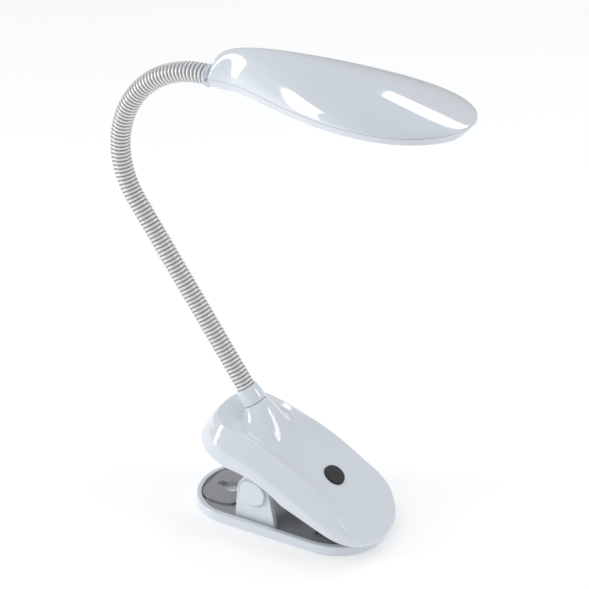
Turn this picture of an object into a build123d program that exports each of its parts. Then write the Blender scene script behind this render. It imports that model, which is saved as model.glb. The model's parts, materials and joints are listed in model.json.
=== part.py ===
"""Clip-on reading lamp: a spring clip with a handle housing, a gooseneck and a leaf-shaped head.

Millimetres. +X runs from the handle end to the nose of the clip, +Z is up, and the origin is the
centre of the lower jaw's underside, which rests on the table.
"""

from build123d import *
from math import acos, atan2, cos, degrees, pi, radians, sin, sqrt
import os

os.makedirs("parts", exist_ok=True)

# Lower jaw
JAW_HALF_LENGTH = 55.5
JAW_HALF_WIDTH = 27.0
JAW_REAR_ROUND = 26.0
JAW_NOSE_ROUND = 29.5
JAW_HEIGHT = 6.0
JAW_RIM = 2.6
JAW_FLOOR = 2.2
JAW_SOFT_EDGE = 0.8
PLATE_THICKNESS = 2.0
PLATE_GAP = 0.2
PAD_HEIGHT = 1.2
PAD_REAR = -51.0
PAD_FRONT = -26.0
PAD_HALF_WIDTH = 16.0
PAD_CORNER = 9.0
KEYHOLE_X = -36.9
KEYHOLE_RADIUS = 4.75
KEYHOLE_SLOT_X = -43.8
KEYHOLE_SLOT_WIDTH = 4.2
GRIP_X = 32.0
GRIP_LENGTH = 20.0
GRIP_WIDTH = 34.0
GRIP_BASE = 0.9
GRIP_SINK = 0.6
RIB_PITCH = 2.4
RIB_WIDTH = 1.3
RIB_HEIGHT = 0.9
JAW_SCREW_X = (-20.0, 18.0)
JAW_SCREW_Y = 13.0

# Pivot
PIVOT_X = -11.0
PIVOT_Z = 23.3
PIN_RADIUS = 2.0
PIN_CLEARANCE = 0.05
EAR_INNER = 19.5
EAR_THICKNESS = 3.0
EAR_RADIUS = 9.6
EAR_FOOT = 25.0
EAR_FOOT_X = -10.0
CAP_RADIUS = 7.75
CAP_HEIGHT = 2.4
CAP_ROUND = 0.96
CAP_SINK = 0.6
CAP_RING = 1.1
LUG_THICKNESS = 3.2
LUG_RADIUS = 6.4
SIDE_GAP = 0.4

# Torsion spring
WIRE_RADIUS = 0.9
SPRING_RADIUS = 5.0
SPRING_PITCH = 2.3
SPRING_TURNS = 6
LOWER_LEG_END = (-13.5, -17.1)
UPPER_LEG_END = (-14.0, 14.6)

# Handle housing, in its own frame: origin on the pivot axis, x to the nose, z square to its base
HOUSING_TILT = 20.5
HOUSING_BASE_Z = 8.4
HOUSING_REAR = -44.8
HOUSING_NOSE = 70.6
REAR_CENTRE = -20.0
NOSE_CENTRE = 45.0
REAR_HALF_WIDTH = 27.3
NOSE_HALF_WIDTH = 29.0
REAR_POWER = 2.26
NOSE_POWER = 2.4
TOP_Z = 25.4
TOP_X = -4.0
TOP_DROP = 0.00126
TOP_POWER = 2.2
DISH_FRONT = 5.0
DISH_REAR = -20.0
DISH_LEAST = 0.05
CREASE_Z = 29.2
CREASE_FRONT_DROP = 0.002286
CREASE_FRONT_POWER = 2.15
CREASE_REAR_DROP = 0.00033
CREASE_REAR_POWER = 2.62
CREASE_IN = 0.22
CREASE_IN_AT_NOSE = 0.06
CREASE_TURN = (30.0, 72.0)
WALL_LINE_Z = 17.5
WALL_LINE_DROP = 0.115
WALL_LINE_SHIFT = 0.6
FACET_LEAST = 2.5
LIP_THICKNESS = 3.0
WALL = 2.0
HOUSING_SECTIONS = 9
MIDDLE_SECTIONS = 4
END_ANGLE = 86.0
ARCH_RISE = 2.8
ARCH_HALF_CHORD = 18.0
BASE_RECESS = 1.8
BASE_THICKNESS = 2.0
FIT_GAP = 0.15
CAVITY_NOSE = 61.0

# Pieces inside the housing
CELL_SIZE = (46.0, 32.0, 6.8)
CELL_X = -3.0
CELL_LIFT = 0.3
BOARD_SIZE = (24.0, 44.0, 1.6)
BOARD_X = 33.0
BOARD_LIFT = 1.0
BOARD_POST_RADIUS = 1.8
POST_RADIUS = 2.6
SCREW_RADIUS = 1.1
SCREW_HEAD_RADIUS = 2.1
SCREW_HEAD = 1.2
SCREW_SLOT_LENGTH = 2.64
SCREW_SLOT_WIDTH = 0.5
SCREW_REACH = 5.0
HOUSING_SCREWS = ((-31.0, 15.0), (50.0, 17.0))
SOCKET_SIZE = (7.6, 7.0, 2.8)
SOCKET_X = 30.0
SOCKET_OUTER_Y = 25.9
SOCKET_PLUG_GAP = 0.2
SOCKET_WALL = 0.4
TONGUE_WIDTH = 4.6
TONGUE_THICKNESS = 0.6
TONGUE_SINK = 1.0
UPPER_GRIP_X = 38.0
UPPER_GRIP_LENGTH = 15.0
UPPER_GRIP_WIDTH = 34.0
UPPER_GRIP_DEPTH = 3.4

# Button
BUTTON_X = 31.3
BUTTON_RADIUS = 5.9
BUTTON_PROUD = 1.3
BUTTON_EDGE = 0.4
BUTTON_FLANGE_RADIUS = 7.2
BUTTON_FLANGE = 1.0
BUTTON_FLANGE_GAP = 0.4
BUTTON_STEM_RADIUS = 1.5
BUTTON_GAP = 0.25
BUTTON_TRAVEL = 0.8
BUTTON_SPARE = 0.15
SWITCH_SIZE = 6.0
SWITCH_HEIGHT = 2.0
PLUNGER_HEIGHT = 0.4

# Gooseneck
NECK_FOOT = (-27.5, 73.0)
NECK_LEAN = 34.0
NECK_STRAIGHT = 115.5
NECK_BEND_RADIUS = 51.2
NECK_BEND = 128.0
NECK_RADIUS = 5.3
NECK_BORE = 3.3
NECK_GAP = 3.2
STRAIGHT_SEGMENTS = 4
BENT_SEGMENTS = 4
LEAD_RADIUS = 1.4
LEAD_TAIL = 30.0
COLLAR_LENGTH = 9.3
COLLAR_FOOT_RADIUS = 6.9
COLLAR_TOP_RADIUS = 5.9
COLLAR_BULGE = 0.35
BOSS_SEAT_RADIUS = 6.9
BOSS_ROOT_X = -8.0
BOSS_ROOT_Z = 23.0
BOSS_ROOT_HALF_LENGTH = 20.0
BOSS_ROOT_HALF_WIDTH = 17.0
BOSS_SEAT_THICKNESS = 2.2
BOSS_BORE = 5.2
BORE_PAST_LEAD = 4.0
FERRULE_RADIUS = 3.2
FERRULE_BORE = 1.8
FERRULE_IN_NECK = 8.0
FERRULE_IN_BEND = 2.0
FERRULE_HOLE = 3.4
NUT_SPAN = 9.0
NUT_HEIGHT = 4.0
NUT_TAIL = 1.5
NUT_ROOM = 5.4

# Head, in its own frame: origin at the neck end of its base plane, x to the tip
HEAD_FOOT = (-43.0, 245.3)
HEAD_RISE = 1.11
HEAD_LENGTH = 139.3
HEAD_HALF_WIDTH = 32.2
HEAD_WIDE_AT = 0.703
HEAD_TIP_POWER = 0.525
HEAD_DOME = 18.75
HEAD_HIGH_AT = 0.254
HEAD_FALL_POWER = 0.88
HEAD_NECK_RADIUS = 5.8
HEAD_DOME_END = 5.2
HEAD_MERGE_POWER = 4
HEAD_SECTIONS = 14
TIP_SHARE = 0.998
LEAF_STEPS = 16
LEAF_NUDGE = 0.001
HEAD_NECK_LENGTH = 13.0
HEAD_NECK_END = 3.0
HEAD_RIM = 3.45
HEAD_WALL = 1.8
HEAD_FLOOR = 1.2
HEAD_CAVITY = (0.05, 0.95)
HEAD_RIM_WALL = 1.6
BASE_START = 0.06
BASE_END_WALL = 0.015
WINDOW_START = 0.2
WINDOW_INSET = 7.0
WINDOW_END_GAP = 0.002
WINDOW_END_LIP = 0.01
DIFFUSER_LIP = 2.5
DIFFUSER_RECESS = 0.2
DIFFUSER_THICKNESS = 1.0
LED_BOARD_SPAN = (0.22, 0.82)
LED_BOARD_INSET = 9.0
LED_BOARD_Z = 4.6
LED_BOARD_THICKNESS = 1.2
LED_SIZE = (3.5, 2.8, 0.8)
LED_PITCH_X = 8.2
LED_PITCH_Y = 8.0
LED_ROWS = 5
LED_COLUMNS = 9
LED_EDGE = 4.5
FRAME_INSET = 10.5
FRAME_WALL = 1.2
FRAME_END_GAP = 0.005
FRAME_END_WALL = 0.01
HEAD_SCREW_X = 22.5
HEAD_SCREW_Y = 5.0
HEAD_POST_RADIUS = 2.2
HEAD_SCREW_BOSS = 3.2
HEAD_SCREW_BOSS_HEIGHT = 2.6


def export(node, name):
    """Write one node's solids to its own file."""
    export_step(node, f"parts/{name}.step")


def superellipse(ratio, power):
    """Height of a unit superellipse at this distance from its centre."""
    return max(0.0, 1 - abs(ratio) ** power) ** (1 / power)


def between(low, high, share):
    return low + (high - low) * share


def ease(start, end, value):
    """0 before the start and 1 past the end, with a smooth step between them."""
    share = min(max((value - start) / (end - start), 0.0), 1.0)
    return share * share * (3 - 2 * share)


def closed_face(*edges):
    return make_face(Curve() + list(edges))


def ring_of(radius, bore):
    return Circle(radius) - Circle(bore)


# ---------------------------------------------------------------- lower jaw


def jaw_outline(inset):
    """Plan of the jaw: straight sides between two half ellipses."""
    half = JAW_HALF_WIDTH - inset
    rear = JAW_REAR_ROUND - JAW_HALF_LENGTH
    nose = JAW_HALF_LENGTH - JAW_NOSE_ROUND
    return closed_face(
        Line((rear, -half), (nose, -half)),
        EllipticalCenterArc((nose, 0), JAW_NOSE_ROUND - inset, half, -90, arc_size=180),
        Line((nose, half), (rear, half)),
        EllipticalCenterArc((rear, 0), JAW_REAR_ROUND - inset, half, 90, arc_size=180),
    )


def keyhole(height):
    """The hanging hole: a round hole for the screw head, and a slot for its shank."""
    slot_half = KEYHOLE_SLOT_WIDTH / 2
    slot_length = KEYHOLE_X - KEYHOLE_SLOT_X
    plan = Pos(KEYHOLE_X, 0) * Circle(KEYHOLE_RADIUS)
    plan += Pos(KEYHOLE_SLOT_X + slot_length / 2, 0) * Rectangle(slot_length, 2 * slot_half)
    plan += Pos(KEYHOLE_SLOT_X, 0) * Circle(slot_half)
    return extrude(plan, height)


def ear(side):
    """A flat ear, round about the pivot and wider at its foot."""
    foot_left = EAR_FOOT_X - EAR_FOOT / 2
    foot_right = EAR_FOOT_X + EAR_FOOT / 2
    foot = JAW_FLOOR
    disc = Pos(PIVOT_X, PIVOT_Z) * Circle(EAR_RADIUS)
    web = make_face(
        Polyline(
            (foot_left, foot),
            (foot_right, foot),
            (PIVOT_X + EAR_RADIUS, PIVOT_Z),
            (PIVOT_X - EAR_RADIUS, PIVOT_Z),
            close=True,
        )
    )
    solid = extrude(Plane.XZ * (disc + web), EAR_THICKNESS)
    start = EAR_INNER if side > 0 else -EAR_INNER - EAR_THICKNESS
    return Pos(0, start + EAR_THICKNESS, 0) * solid


def pivot_rod(radius, near, far):
    """A rod on the pivot axis from y = near to y = far."""
    rod = Rot(90, 0, 0) * Cylinder(radius, far - near)
    return Pos(PIVOT_X, (near + far) / 2, PIVOT_Z) * rod


def jaw_screw_places():
    return [(x, y) for x in JAW_SCREW_X for y in (-JAW_SCREW_Y, JAW_SCREW_Y)]


def screw(length):
    """A pan-head screw, its head's outer face at z = 0 and its shank upwards."""
    head = Cylinder(SCREW_HEAD_RADIUS, SCREW_HEAD, align=(Align.CENTER, Align.CENTER, Align.MIN))
    for turn in (45, 135):
        head -= Rot(0, 0, turn) * Box(SCREW_SLOT_LENGTH, SCREW_SLOT_WIDTH, SCREW_HEAD)
    shank = Cylinder(SCREW_RADIUS, length, align=(Align.CENTER, Align.CENTER, Align.MIN))
    return head + Pos(0, 0, SCREW_HEAD) * shank


def screw_hole(depth):
    """The room that a screw takes: a pocket for its head and a hole for its shank."""
    head = Cylinder(SCREW_HEAD_RADIUS, SCREW_HEAD, align=(Align.CENTER, Align.CENTER, Align.MIN))
    shank = Cylinder(SCREW_RADIUS, depth, align=(Align.CENTER, Align.CENTER, Align.MIN))
    return head + shank


def jaw_tray():
    body = extrude(jaw_outline(0), JAW_HEIGHT)
    body = fillet(body.faces().sort_by(Axis.Z)[-1].edges(), JAW_SOFT_EDGE)
    body = chamfer(body.faces().sort_by(Axis.Z)[0].edges(), JAW_SOFT_EDGE / 2)
    body -= Pos(0, 0, JAW_FLOOR) * extrude(jaw_outline(JAW_RIM), JAW_HEIGHT)
    body += ear(-1) + ear(1)
    body -= keyhole(JAW_HEIGHT)
    for side in (-1, 1):
        face = side * (EAR_INNER + EAR_THICKNESS)
        body -= pivot_rod(CAP_RADIUS + CAP_RING, face - CAP_SINK, face + CAP_SINK)
    reach = EAR_INNER + EAR_THICKNESS
    body -= pivot_rod(PIN_RADIUS, -reach, reach)
    for x, y in jaw_screw_places():
        body -= Pos(x, y, 0) * screw_hole(JAW_HEIGHT)
    return body


def jaw_plate():
    """The grey insert, with a raised pad round the keyhole and slots for the ears."""
    top = JAW_FLOOR + PLATE_THICKNESS
    plate = Pos(0, 0, JAW_FLOOR) * extrude(jaw_outline(JAW_RIM + PLATE_GAP), PLATE_THICKNESS)
    pad_length = PAD_FRONT - PAD_REAR
    pad = RectangleRounded(pad_length, 2 * PAD_HALF_WIDTH, PAD_CORNER)
    pad = Pos((PAD_FRONT + PAD_REAR) / 2, 0, top) * extrude(pad, PAD_HEIGHT)
    plate += fillet(pad.faces().sort_by(Axis.Z)[-1].edges(), PAD_HEIGHT / 3)
    for side in (-1, 1):
        slot = Box(EAR_FOOT + 2 * PLATE_GAP, EAR_THICKNESS + 2 * PLATE_GAP, JAW_HEIGHT * 2)
        plate -= Pos(EAR_FOOT_X, side * (EAR_INNER + EAR_THICKNESS / 2), JAW_HEIGHT) * slot
    plate -= keyhole(JAW_HEIGHT * 2)
    recess = Box(GRIP_LENGTH, GRIP_WIDTH, 2 * GRIP_SINK)
    plate -= Pos(GRIP_X, 0, top) * recess
    for x, y in jaw_screw_places():
        shank = Cylinder(SCREW_RADIUS, PLATE_THICKNESS)
        plate -= Pos(x, y, JAW_FLOOR) * shank
    return plate


def ribbed_pad(length, width, base, side):
    """A rubber pad with ribs across it; side is 1 for ribs upwards, or -1 for downwards."""
    pad = Pos(0, 0, side * base / 2) * Box(length, width, base)
    count = int(length / RIB_PITCH)
    first = -(count - 1) * RIB_PITCH / 2
    for rib in range(count):
        bar = Box(RIB_WIDTH, width, RIB_HEIGHT)
        pad += Pos(first + rib * RIB_PITCH, 0, side * (base + RIB_HEIGHT / 2)) * bar
    return pad


def jaw_grip():
    pad = ribbed_pad(GRIP_LENGTH, GRIP_WIDTH, GRIP_BASE, 1)
    return Pos(GRIP_X, 0, JAW_FLOOR + PLATE_THICKNESS - GRIP_SINK) * pad


def jaw_screws():
    length = JAW_FLOOR + PLATE_THICKNESS / 2 - SCREW_HEAD
    return Compound(children=[Pos(x, y, 0) * screw(length) for x, y in jaw_screw_places()])


def pivot_pin():
    reach = EAR_INNER + EAR_THICKNESS - CAP_SINK
    return pivot_rod(PIN_RADIUS, -reach, reach)


def pivot_cap(side):
    """A round cap on an ear, a little domed."""
    inner = EAR_INNER + EAR_THICKNESS - CAP_SINK
    cap = Cylinder(CAP_RADIUS, CAP_HEIGHT)
    cap = fillet(cap.faces().sort_by(Axis.Z)[-1].edges(), CAP_ROUND)
    turn = Rot(-90 * side, 0, 0)
    return Pos(PIVOT_X, side * (inner + CAP_HEIGHT / 2), PIVOT_Z) * turn * cap


def jaw_spring():
    """A torsion spring round the pin. One leg presses on the jaw, the other on the handle."""
    length = SPRING_PITCH * SPRING_TURNS
    path = Helix(SPRING_PITCH, length, SPRING_RADIUS)
    start = Plane(path @ 0, z_dir=path % 0)
    coil = sweep(start * Circle(WIRE_RADIUS), path, is_frenet=True)
    coil = Pos(0, length / 2, 0) * Rot(90, 0, 180) * coil
    lower_leg = spring_leg(-length / 2, *LOWER_LEG_END)
    upper_leg = spring_leg(length / 2, *UPPER_LEG_END)
    return Pos(PIVOT_X, 0, PIVOT_Z) * (coil + lower_leg + upper_leg)


def spring_leg(y, end_x, end_z):
    """A straight leg from the coil's rear to this end, with the wire's round joint at the coil."""
    start = Vector(-SPRING_RADIUS, y, 0)
    end = Vector(end_x, y, end_z)
    way = end - start
    leg = extrude(Plane(start, z_dir=way) * Circle(WIRE_RADIUS), way.length)
    return leg + Pos(start) * Sphere(WIRE_RADIUS)


# ---------------------------------------------------------------- handle housing


HOUSING_PLACE = Pos(PIVOT_X, 0, PIVOT_Z) * Rot(0, HOUSING_TILT, 0)


def housing_end(x, nose):
    """The centre, length, half width and power of the end of the plan that x is in."""
    if x < REAR_CENTRE:
        return REAR_CENTRE, REAR_CENTRE - HOUSING_REAR, REAR_HALF_WIDTH, REAR_POWER
    return NOSE_CENTRE, nose - NOSE_CENTRE, NOSE_HALF_WIDTH, NOSE_POWER


def housing_half_width(x, inset, nose):
    if REAR_CENTRE <= x <= NOSE_CENTRE:
        share = (x - REAR_CENTRE) / (NOSE_CENTRE - REAR_CENTRE)
        return between(REAR_HALF_WIDTH, NOSE_HALF_WIDTH, share) - inset
    centre, length, half, power = housing_end(x, nose)
    return (half - inset) * superellipse((x - centre) / (length - inset), power)


def crease_height(x):
    """Height of the crease between the top panel and the sloping side."""
    if x > 0:
        height = CREASE_Z - CREASE_FRONT_DROP * x**CREASE_FRONT_POWER
    else:
        height = CREASE_Z - CREASE_REAR_DROP * (-x) ** CREASE_REAR_POWER
    return max(height, HOUSING_BASE_Z + LIP_THICKNESS)


def crease_share(x):
    """How far out the crease is, as a share of the half width."""
    return 1 - between(CREASE_IN, CREASE_IN_AT_NOSE, ease(*CREASE_TURN, x))


def wall_line_height(x):
    """Height where the upright side turns in to slope up to the crease."""
    return min(WALL_LINE_Z - WALL_LINE_DROP * max(x, 0), crease_height(x) - FACET_LEAST)


def housing_top(x):
    """Height of the top along the middle, where the panel is dished in front of the boss."""
    dished = TOP_Z - TOP_DROP * max(x - TOP_X, 0) ** TOP_POWER
    height = between(dished, crease_height(x), ease(DISH_FRONT, DISH_REAR, x))
    return min(height, crease_height(x) - DISH_LEAST)


def panel_height(x, y):
    """Height of the top panel away from the middle."""
    crease = housing_half_width(x, 0, HOUSING_NOSE) * crease_share(x)
    return between(housing_top(x), crease_height(x), (y / crease) ** 2)


def housing_section(x, inset, nose, base):
    """An upright side, a slope up to the crease, and a dished panel between the creases."""
    half = housing_half_width(x, inset, nose)
    side = wall_line_height(x) - WALL_LINE_SHIFT * inset
    crease = half * crease_share(x)
    edge = crease_height(x) - inset
    face = closed_face(
        Line((-half, base), (half, base)),
        Line((half, base), (half, side)),
        Line((half, side), (crease, edge)),
        ThreePointArc((crease, edge), (0, housing_top(x) - inset), (-crease, edge)),
        Line((-crease, edge), (-half, side)),
        Line((-half, side), (-half, base)),
    )
    return Plane((x, 0, 0), x_dir=(0, 1, 0), z_dir=(1, 0, 0)) * face


def housing_form(inset, nose, base):
    """The housing's outer form, or its cavity, from the rear end to the nose."""
    steps = HOUSING_SECTIONS
    angles = [radians(END_ANGLE) * (1 - step / steps) for step in range(steps + 1)]
    rear_length = REAR_CENTRE - HOUSING_REAR - inset
    nose_length = nose - NOSE_CENTRE - inset
    places = [REAR_CENTRE - rear_length * sin(angle) for angle in angles]
    middle = NOSE_CENTRE - REAR_CENTRE
    places += [REAR_CENTRE + middle * step / MIDDLE_SECTIONS for step in range(1, MIDDLE_SECTIONS)]
    places += [NOSE_CENTRE + nose_length * sin(angle) for angle in reversed(angles)]
    return loft([housing_section(x, inset, nose, base) for x in places])


def button_place():
    """The middle of the button on the top, square to the surface there."""
    slope = TOP_DROP * TOP_POWER * (BUTTON_X - TOP_X) ** (TOP_POWER - 1)
    return Pos(BUTTON_X, 0, housing_top(BUTTON_X)) * Rot(0, degrees(atan2(slope, 1)), 0)


def base_top():
    return HOUSING_BASE_Z + BASE_RECESS + BASE_THICKNESS


def housing_screw_places():
    return [(x, side * y) for x, y in HOUSING_SCREWS for side in (-1, 1)]


def socket_box(extra, depth):
    length, _, height = SOCKET_SIZE
    board = base_top() + BOARD_LIFT + BOARD_SIZE[2]
    box = Box(length + extra, depth, height + extra)
    return Pos(SOCKET_X, SOCKET_OUTER_Y, board + height / 2) * box


def boss_form():
    """The horn on the housing that carries the gooseneck: from a round seat to an oval root."""
    seat = neck_plane(-COLLAR_LENGTH) * Circle(BOSS_SEAT_RADIUS)
    root = Plane((BOSS_ROOT_X, 0, BOSS_ROOT_Z), x_dir=(0, 1, 0))
    root = HOUSING_PLACE * root * Ellipse(BOSS_ROOT_HALF_WIDTH, BOSS_ROOT_HALF_LENGTH)
    return HOUSING_PLACE.inverse() * loft([seat, root])


def boss_bore():
    """The hole down the boss: narrow through its seat, and wide below it for the nut."""
    wide_top = -COLLAR_LENGTH - BOSS_SEAT_THICKNESS
    depth = LEAD_TAIL + BORE_PAST_LEAD
    narrow = Pos(0, 0, -depth / 2) * Cylinder(FERRULE_HOLE, depth)
    wide_length = depth + wide_top
    wide = Pos(0, 0, wide_top - wide_length / 2) * Cylinder(BOSS_BORE, wide_length)
    return narrow + wide


def housing_shell():
    """The white upper casing with its boss, its button hole and its screw posts."""
    outer = housing_form(0, HOUSING_NOSE, HOUSING_BASE_Z)
    shell = outer + boss_form()
    cavity = housing_form(WALL, CAVITY_NOSE, HOUSING_BASE_Z - WALL)
    shell -= cavity
    shell -= HOUSING_PLACE.inverse() * neck_plane(0).location * boss_bore()
    for x, y in housing_screw_places():
        height = panel_height(x, y) - WALL / 2 - base_top()
        post = Cylinder(POST_RADIUS, height) - Cylinder(SCREW_RADIUS, height)
        shell += Pos(x, y, base_top() + height / 2) * post
    radius = BUTTON_RADIUS + BUTTON_GAP
    shell -= button_place() * Cylinder(radius, 3 * WALL)
    shell -= Pos(0, WALL, 0) * socket_box(2 * SOCKET_PLUG_GAP, 5 * WALL)
    arch_radius = (ARCH_HALF_CHORD**2 + ARCH_RISE**2) / (2 * ARCH_RISE)
    arch = Rot(90, 0, 0) * Cylinder(arch_radius, 3 * NOSE_HALF_WIDTH)
    shell -= Pos(0, 0, HOUSING_BASE_Z + ARCH_RISE - arch_radius) * arch
    return HOUSING_PLACE * shell


def housing_base():
    """The cover under the housing, with the lugs that turn on the pin."""
    low = HOUSING_BASE_Z + BASE_RECESS
    wide = 4 * HOUSING_NOSE
    slab = Pos(0, 0, low + BASE_THICKNESS / 2) * Box(wide, wide, BASE_THICKNESS)
    gap = WALL + FIT_GAP
    base = slab & housing_form(gap, CAVITY_NOSE - FIT_GAP, HOUSING_BASE_Z - WALL)
    lug_outer = EAR_INNER - SIDE_GAP
    lug_plan = Circle(LUG_RADIUS) + Pos(0, low / 2) * Rectangle(2 * LUG_RADIUS, low)
    lug = extrude(Plane.XZ * lug_plan, LUG_THICKNESS)
    base += Pos(0, lug_outer, 0) * lug
    base += Pos(0, -lug_outer + LUG_THICKNESS, 0) * lug
    base -= Rot(90, 0, 0) * Cylinder(PIN_RADIUS + PIN_CLEARANCE, 3 * EAR_INNER)
    for x, y in housing_screw_places():
        base -= Pos(x, y, low) * screw_hole(2 * BASE_THICKNESS)
    for side in (-1, 1):
        post = Pos(BOARD_X, side * BOARD_SIZE[1] / 3, base_top() + BOARD_LIFT / 2)
        base += post * Cylinder(BOARD_POST_RADIUS, BOARD_LIFT)
    return HOUSING_PLACE * base


def housing_screws():
    low = HOUSING_BASE_Z + BASE_RECESS
    places = [Pos(x, y, low) for x, y in housing_screw_places()]
    reach = BASE_THICKNESS - SCREW_HEAD
    screws = []
    for place, (x, _) in zip(places, housing_screw_places()):
        room = housing_top(x) - 2 * WALL - base_top()
        screws.append(HOUSING_PLACE * place * screw(reach + min(SCREW_REACH, room)))
    return Compound(children=screws)


def housing_grip():
    """The ribbed rubber pad under the nose of the handle housing."""
    pad = ribbed_pad(UPPER_GRIP_LENGTH, UPPER_GRIP_WIDTH, UPPER_GRIP_DEPTH - RIB_HEIGHT, -1)
    x = UPPER_GRIP_X + UPPER_GRIP_LENGTH / 2
    return HOUSING_PLACE * Pos(x, 0, HOUSING_BASE_Z + BASE_RECESS) * pad


def battery_cell():
    """A flat rechargeable cell with round long edges."""
    length, width, height = CELL_SIZE
    cell = Box(length, width, height)
    cell = fillet(cell.edges().filter_by(Axis.X), height / 3)
    return HOUSING_PLACE * Pos(CELL_X, 0, base_top() + CELL_LIFT + height / 2) * cell


def control_board():
    board = Box(*BOARD_SIZE)
    z = base_top() + BOARD_LIFT + BOARD_SIZE[2] / 2
    return HOUSING_PLACE * Pos(BOARD_X, 0, z) * board


def switch_top():
    return base_top() + BOARD_LIFT + BOARD_SIZE[2] + SWITCH_HEIGHT


def tactile_switch():
    body = Box(SWITCH_SIZE, SWITCH_SIZE, SWITCH_HEIGHT - PLUNGER_HEIGHT)
    plunger = Cylinder(BUTTON_STEM_RADIUS, PLUNGER_HEIGHT)
    switch = Pos(BUTTON_X, 0, switch_top() - (SWITCH_HEIGHT + PLUNGER_HEIGHT) / 2) * body
    switch += Pos(BUTTON_X, 0, switch_top() - PLUNGER_HEIGHT / 2) * plunger
    return HOUSING_PLACE * switch


def charge_socket():
    """A flat socket shell with its contact tongue."""
    length, depth, height = SOCKET_SIZE
    room = 2 * SOCKET_WALL
    shell = Box(length, depth, height)
    shell -= Pos(0, SOCKET_WALL, 0) * Box(length - room, depth, height - room)
    tongue_depth = depth - TONGUE_SINK
    tongue = Pos(0, -TONGUE_SINK / 2, 0) * Box(TONGUE_WIDTH, tongue_depth, TONGUE_THICKNESS)
    y = SOCKET_OUTER_Y - depth / 2
    z = base_top() + BOARD_LIFT + BOARD_SIZE[2] + height / 2
    return HOUSING_PLACE * Pos(SOCKET_X, y, z) * (shell + tongue)


def switch_button():
    """The rubber button, with a flange that keeps it under the shell and a stem over the switch."""
    flange_top = -WALL - BUTTON_FLANGE_GAP
    height = BUTTON_PROUD - flange_top
    cap = Cylinder(BUTTON_RADIUS, height)
    cap = fillet(cap.faces().sort_by(Axis.Z)[-1].edges(), BUTTON_EDGE)
    button = Pos(0, 0, flange_top + height / 2) * cap
    button += Pos(0, 0, flange_top - BUTTON_FLANGE / 2) * Cylinder(BUTTON_FLANGE_RADIUS, BUTTON_FLANGE)
    flange_low = flange_top - BUTTON_FLANGE
    room = housing_top(BUTTON_X) + flange_low - switch_top()
    stem = room - BUTTON_TRAVEL - BUTTON_SPARE
    button += Pos(0, 0, flange_low - stem / 2) * Cylinder(BUTTON_STEM_RADIUS, stem)
    return HOUSING_PLACE * button_place() * button


# ---------------------------------------------------------------- gooseneck


def bend_centre():
    """The middle of the arc that the gooseneck's upper part follows."""
    lean = radians(NECK_LEAN)
    x = NECK_FOOT[0] - NECK_STRAIGHT * sin(lean) + NECK_BEND_RADIUS * cos(lean)
    z = NECK_FOOT[1] + NECK_STRAIGHT * cos(lean) + NECK_BEND_RADIUS * sin(lean)
    return x, z


def neck_length():
    return NECK_STRAIGHT + NECK_BEND_RADIUS * radians(NECK_BEND)


def neck_plane(travel):
    """A plane square to the gooseneck, this far along it from the collar."""
    if travel <= NECK_STRAIGHT:
        heading = radians(-NECK_LEAN)
        x = NECK_FOOT[0] + travel * sin(heading)
        z = NECK_FOOT[1] + travel * cos(heading)
    else:
        bent = min(travel, neck_length()) - NECK_STRAIGHT
        heading = bent / NECK_BEND_RADIUS - radians(NECK_LEAN)
        centre_x, centre_z = bend_centre()
        past = travel - NECK_STRAIGHT - bent
        x = centre_x - NECK_BEND_RADIUS * cos(heading) + past * sin(heading)
        z = centre_z + NECK_BEND_RADIUS * sin(heading) + past * cos(heading)
    return Plane((x, 0, z), x_dir=(0, 1, 0), z_dir=(sin(heading), 0, cos(heading)))


def neck_run(section, start, end):
    """A section carried along the gooseneck from start to end, within its straight or its bend."""
    face = neck_plane(start) * section
    if end <= NECK_STRAIGHT + NECK_GAP:
        return extrude(face, end - start, dir=neck_plane(start).z_dir)
    centre_x, centre_z = bend_centre()
    angle = degrees((end - start) / NECK_BEND_RADIUS)
    return revolve(face, Axis((centre_x, 0, centre_z), (0, 1, 0)), angle)


def neck_joints():
    """Distances along the gooseneck of the joints between its segments."""
    straight = NECK_STRAIGHT / STRAIGHT_SEGMENTS
    bent = (neck_length() - NECK_STRAIGHT) / BENT_SEGMENTS
    joints = [straight * step for step in range(1, STRAIGHT_SEGMENTS + 1)]
    return joints + [NECK_STRAIGHT + bent * step for step in range(1, BENT_SEGMENTS)]


def neck_spans():
    """Start and end of each segment, with a gap at each joint for the segments to turn in."""
    joints = neck_joints()
    starts = [0.0] + [joint + NECK_GAP / 2 for joint in joints]
    ends = [joint - NECK_GAP / 2 for joint in joints] + [neck_length()]
    return list(zip(starts, ends))


def neck_coil(number):
    start, end = neck_spans()[number - 1]
    return neck_run(ring_of(NECK_RADIUS, NECK_BORE), start, end)


def neck_lead(number):
    """The lead's stretch inside one segment."""
    start, end = neck_spans()[number - 1]
    if number == 1:
        start -= LEAD_TAIL
    return neck_run(Circle(LEAD_RADIUS), start, end)


def neck_collar():
    """The tapered collar between the boss and the gooseneck."""
    middle = (COLLAR_FOOT_RADIUS + COLLAR_TOP_RADIUS) / 2 + COLLAR_BULGE
    profile = closed_face(
        Line((FERRULE_HOLE, 0), (FERRULE_HOLE, -COLLAR_LENGTH)),
        Line((FERRULE_HOLE, -COLLAR_LENGTH), (COLLAR_FOOT_RADIUS, -COLLAR_LENGTH)),
        ThreePointArc(
            (COLLAR_FOOT_RADIUS, -COLLAR_LENGTH), (middle, -COLLAR_LENGTH / 2), (COLLAR_TOP_RADIUS, 0)
        ),
        Line((COLLAR_TOP_RADIUS, 0), (FERRULE_HOLE, 0)),
    )
    return neck_plane(0).location * revolve(Plane.XZ * profile, Axis.Z)


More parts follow.
